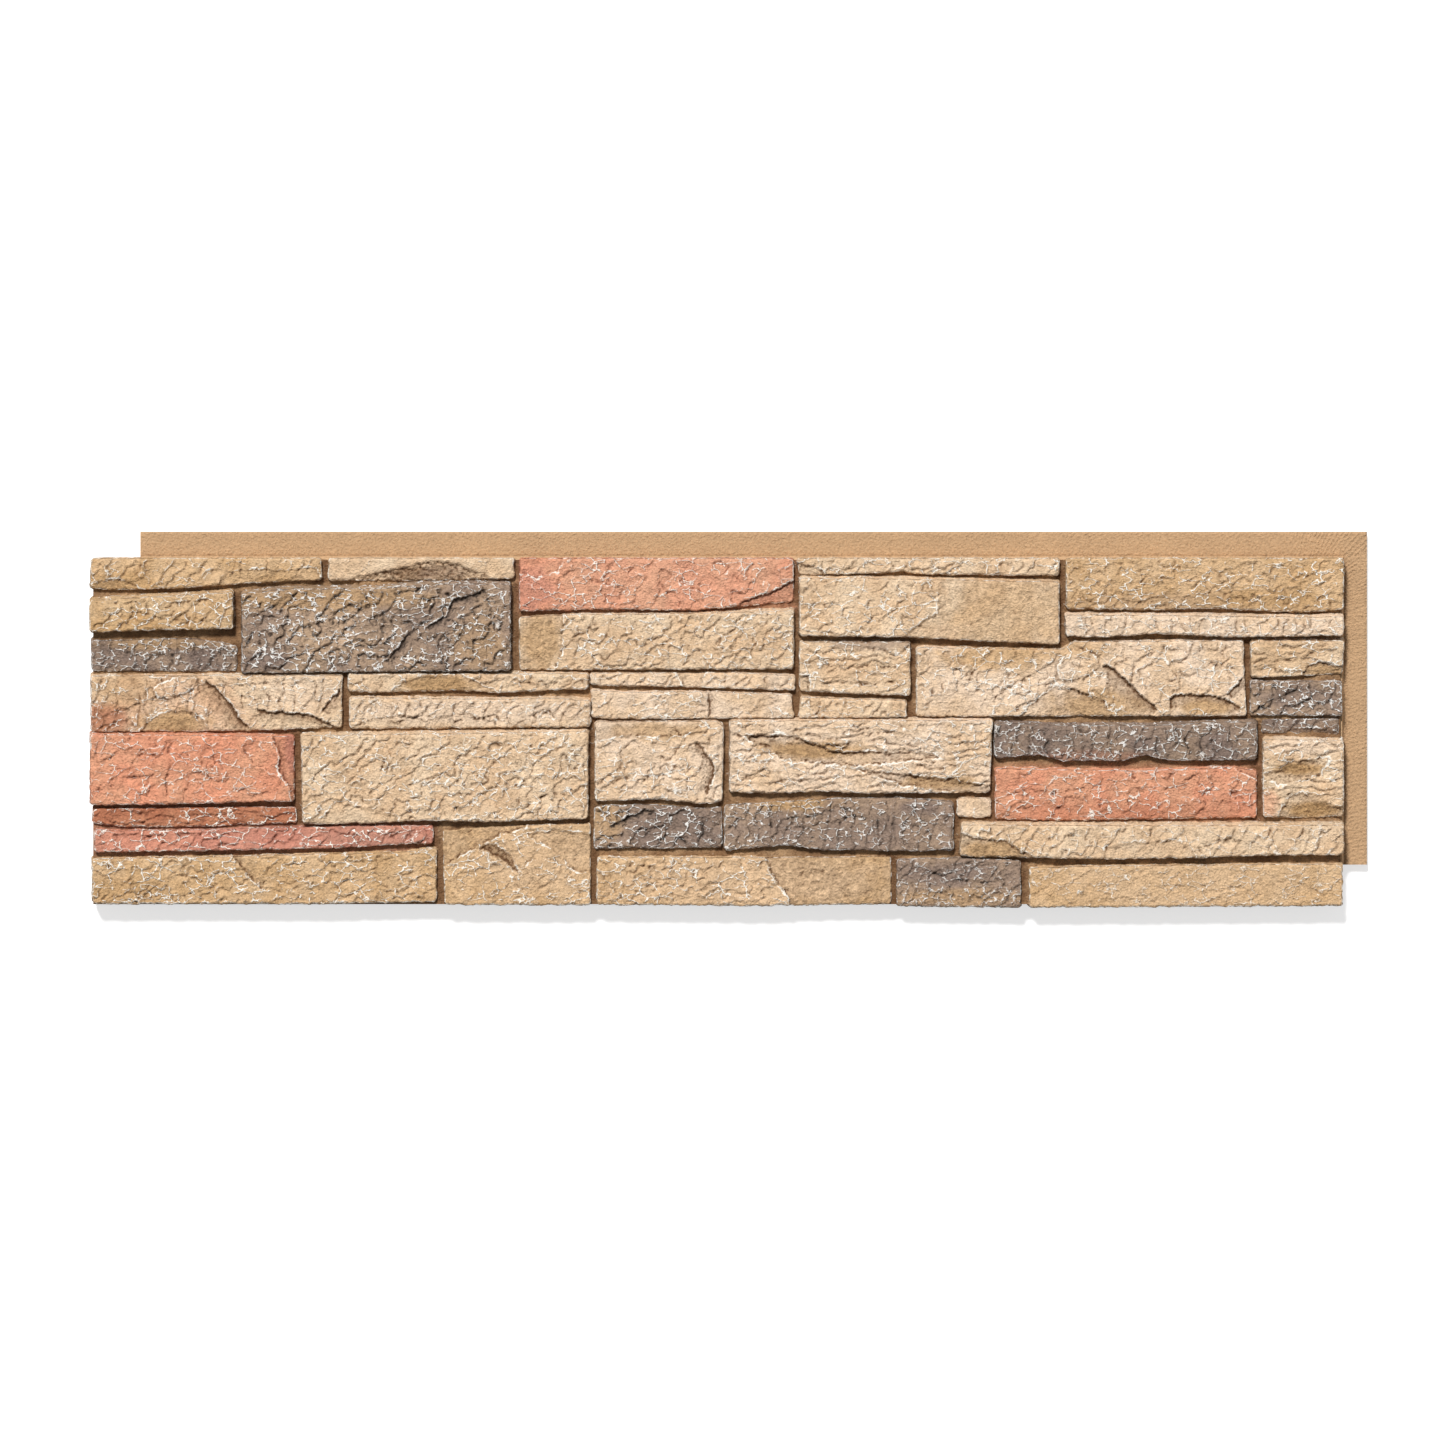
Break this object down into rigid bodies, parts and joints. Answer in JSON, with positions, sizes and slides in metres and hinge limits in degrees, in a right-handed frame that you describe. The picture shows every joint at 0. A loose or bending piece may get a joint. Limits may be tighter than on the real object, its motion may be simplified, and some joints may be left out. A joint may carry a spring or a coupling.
{
  "type": "faux stone wall panel",
  "caption": "Foam wall cladding panel moulded as stacked ledge stones, with a lap flange along the top and right and a rebate behind the left and bottom edges.",
  "frame": {"origin": "middle of the overall box, on the flat back face", "axes": "+X along the courses towards the flanged end, +Y up the wall towards the flanged top edge, +Z out of the wall"},
  "size_m": [1.089, 0.3208, 0.0316],
  "materials": {
    "stone_face": "matte, tan stone colours with pale dry-brushed ridges and a brown wash in the joints"
  },
  "bodies": {
    "root": {"wall_panel": "stone_face"}
  },
  "joints": []
}
